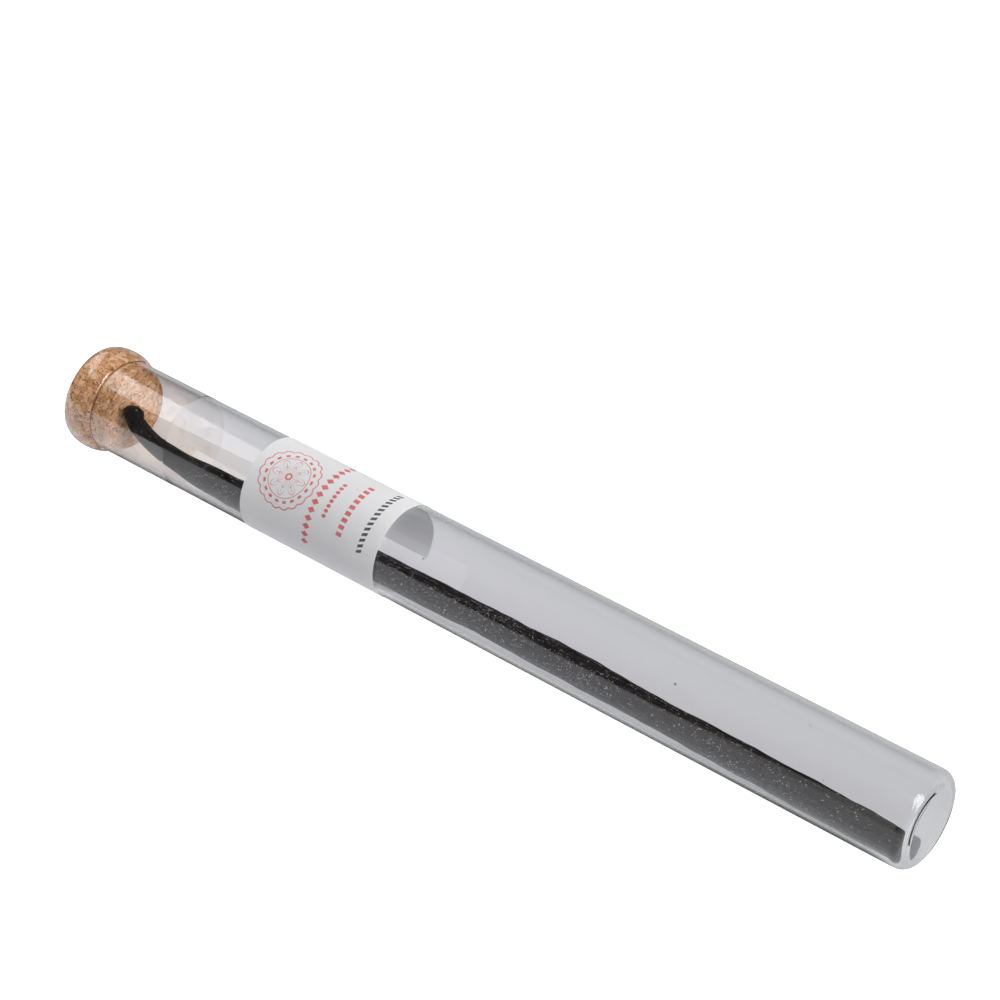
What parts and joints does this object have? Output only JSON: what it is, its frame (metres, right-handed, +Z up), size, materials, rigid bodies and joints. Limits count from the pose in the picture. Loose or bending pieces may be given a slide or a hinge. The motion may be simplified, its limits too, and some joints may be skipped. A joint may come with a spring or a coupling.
{
  "type": "vanilla pod in a corked glass tube",
  "caption": "Whole dried vanilla pod with a hooked stem end, packed in a slim clear glass tube with a flared collar, a cork stopper, a clear film seal over the collar and a wrapped paper label, lying on its side.",
  "frame": {"origin": "on the surface the tube lies on, under the middle of its bounding box", "axes": "+X along the tube from the corked mouth to the shut end, +Z up"},
  "size_m": [0.2066, 0.0232, 0.0228],
  "materials": {
    "glass": "clear, polished, slightly grey through its depth",
    "cork": "agglomerated cork: pressed orange-brown granules with dark brown flecks, dull",
    "pod_skin": "black-brown oily skin, creased lengthwise, with tiny pale crystals",
    "label_paper": "smooth white paper with a plain red and dark printed pattern",
    "film": "thin clear film, glossy, with fine creases"
  },
  "bodies": {
    "root": {"glass_tube": "glass", "cork_stopper": "cork", "vanilla_pod": "pod_skin", "paper_label": "label_paper", "seal_film": "film"}
  },
  "joints": []
}
